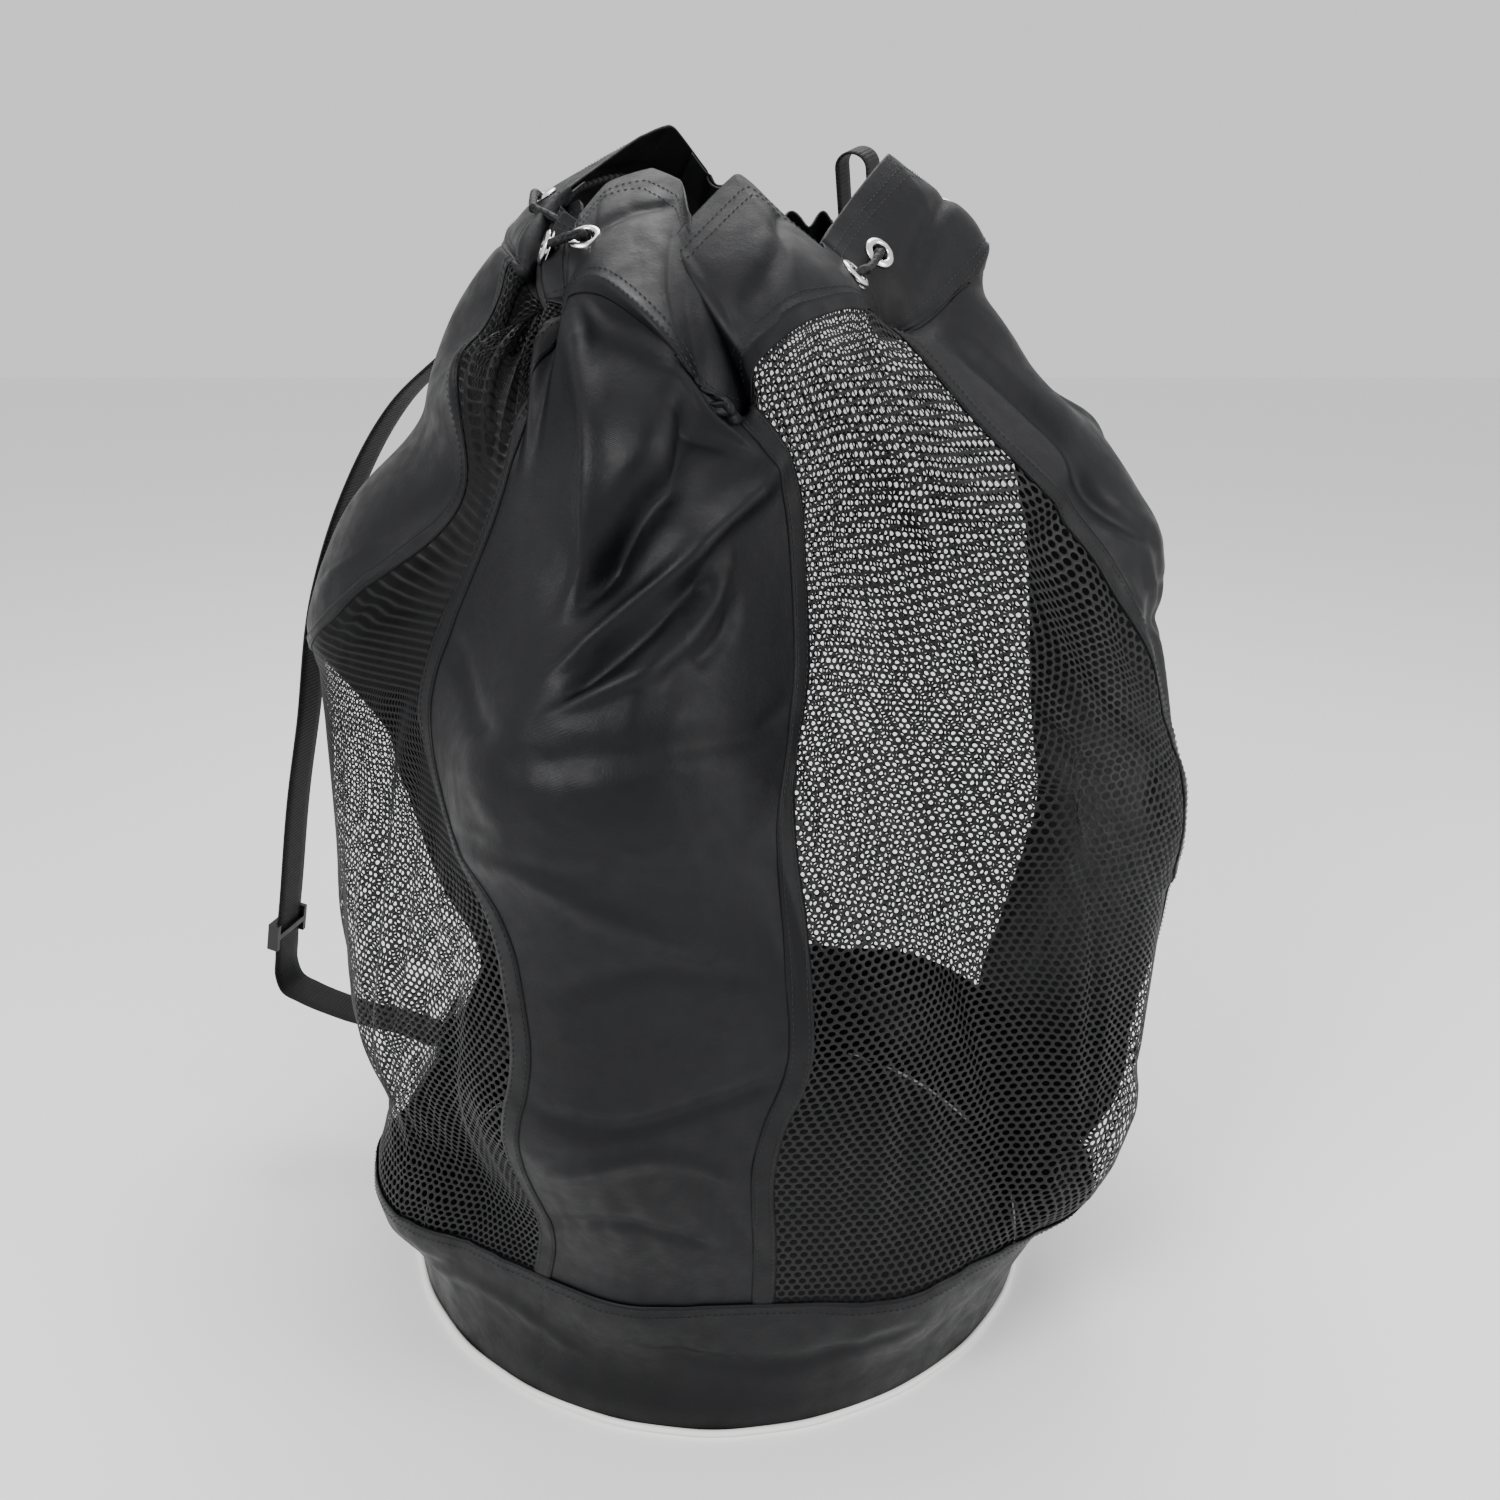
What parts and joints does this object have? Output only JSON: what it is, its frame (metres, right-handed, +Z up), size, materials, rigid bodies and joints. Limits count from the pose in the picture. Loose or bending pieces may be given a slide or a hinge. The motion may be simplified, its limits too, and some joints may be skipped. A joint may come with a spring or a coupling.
{
  "type": "mesh ball bag",
  "caption": "Tall round sack of coated nylon and knitted mesh panels on a flat round base, with an eyeleted collar closed by a drawcord and an adjustable shoulder strap, for carrying footballs",
  "frame": {"origin": "middle of the flat base, on the floor", "axes": "+Z is up from the floor to the mouth, -Y is the side facing the viewer with the nylon front panel, +X is that viewer's right"},
  "size_m": [0.7853, 0.7124, 0.9237],
  "materials": {
    "coated_nylon": "satin coated weave",
    "base_cloth": "satin coated weave",
    "seam_cloth": "satin coated weave",
    "knitted_mesh": "matte knit with round holes",
    "white_piping": "satin",
    "eyelet_metal": "nickel plated",
    "braided_cord": "braided",
    "webbing": "ribbed webbing",
    "slider_plastic": "moulded"
  },
  "bodies": {
    "bag": {"base_panel": "base_cloth", "base_piping": "white_piping", "lower_band": "coated_nylon", "strap_anchor_top": "webbing", "strap_anchor_bottom": "webbing", "nylon_panel_front": "coated_nylon", "seam_front": "seam_cloth", "mesh_panel_right_front": "knitted_mesh", "seam_right_front": "seam_cloth", "nylon_panel_right_rear": "coated_nylon", "seam_right_rear": "seam_cloth", "mesh_panel_rear": "knitted_mesh", "seam_rear": "seam_cloth", "nylon_panel_left_rear": "coated_nylon", "seam_left_rear": "seam_cloth", "mesh_panel_left_front": "knitted_mesh", "seam_left_front": "seam_cloth"},
    "collar_front": {"collar_front": "coated_nylon", "eyelets_front": "eyelet_metal", "eyelet_washers_front": "eyelet_metal", "drawcord_front": "braided_cord"},
    "collar_right_front": {"collar_right_front": "coated_nylon", "eyelets_right_front": "eyelet_metal", "eyelet_washers_right_front": "eyelet_metal", "drawcord_right_front": "braided_cord"},
    "collar_right_rear": {"collar_right_rear": "coated_nylon", "eyelets_right_rear": "eyelet_metal", "eyelet_washers_right_rear": "eyelet_metal", "drawcord_right_rear": "braided_cord"},
    "collar_rear": {"collar_rear": "coated_nylon", "eyelets_rear": "eyelet_metal", "eyelet_washers_rear": "eyelet_metal", "drawcord_rear": "braided_cord", "drawcord_knot": "braided_cord"},
    "collar_left_rear": {"collar_left_rear": "coated_nylon", "eyelets_left_rear": "eyelet_metal", "eyelet_washers_left_rear": "eyelet_metal", "drawcord_left_rear": "braided_cord"},
    "collar_left_front": {"collar_left_front": "coated_nylon", "eyelets_left_front": "eyelet_metal", "eyelet_washers_left_front": "eyelet_metal", "drawcord_left_front": "braided_cord"},
    "haul_loop": {"haul_loop": "webbing"},
    "strap": {"shoulder_strap": "webbing"},
    "slider": {"strap_slider": "slider_plastic"}
  },
  "joints": [
    {"name": "collar_front_fold", "type": "hinge", "parent": "bag", "child": "collar_front", "pos_m": [-0.04236, -0.21792, 0.785], "axis": [0.9816, -0.1908, 0], "range_deg": [0, 51]},
    {"name": "collar_right_front_fold", "type": "hinge", "parent": "bag", "child": "collar_right_front", "pos_m": [0.15282, -0.16103, 0.785], "axis": [0.7254, 0.6884, 0], "range_deg": [0, 35]},
    {"name": "collar_right_rear_fold", "type": "hinge", "parent": "bag", "child": "collar_right_rear", "pos_m": [0.21863, 0.03855, 0.785], "axis": [-0.1736, 0.9848, 0], "range_deg": [0, 21]},
    {"name": "collar_rear_fold", "type": "hinge", "parent": "bag", "child": "collar_rear", "pos_m": [0.07593, 0.20861, 0.785], "axis": [-0.9397, 0.342, 0], "range_deg": [0, 27]},
    {"name": "collar_left_rear_fold", "type": "hinge", "parent": "bag", "child": "collar_left_rear", "pos_m": [-0.1427, 0.17006, 0.785], "axis": [-0.766, -0.6428, 0], "range_deg": [0, 19]},
    {"name": "collar_left_front_fold", "type": "hinge", "parent": "bag", "child": "collar_left_front", "pos_m": [-0.21393, -0.05933, 0.785], "axis": [0.2672, -0.9636, 0], "range_deg": [0, 43]},
    {"name": "haul_loop_fold", "type": "hinge", "parent": "collar_rear", "child": "haul_loop", "pos_m": [0.08247, 0.1551, 0.8957], "axis": [-0.8829, 0.4695, 0], "range_deg": [0, 40], "stiffness_Nm_per_rad": 0.01},
    {"name": "strap_swing", "type": "hinge", "parent": "bag", "child": "strap", "pos_m": [-0.31554, 0.08455, 0.127], "axis": [0.1083, -0.029, 0.9937], "range_deg": [-6, 6], "stiffness_Nm_per_rad": 0.08},
    {"name": "slider_slide", "type": "slide", "parent": "strap", "child": "slider", "axis": [0.1952, -0.0523, 0.9794], "range_m": [0, 0.14]}
  ],
  "couplings": [
    {"joint": "collar_right_front_fold", "follows": "collar_front_fold", "ratio": 0.68627},
    {"joint": "collar_right_rear_fold", "follows": "collar_front_fold", "ratio": 0.41176},
    {"joint": "collar_rear_fold", "follows": "collar_front_fold", "ratio": 0.52941},
    {"joint": "collar_left_rear_fold", "follows": "collar_front_fold", "ratio": 0.37255},
    {"joint": "collar_left_front_fold", "follows": "collar_front_fold", "ratio": 0.84314}
  ]
}
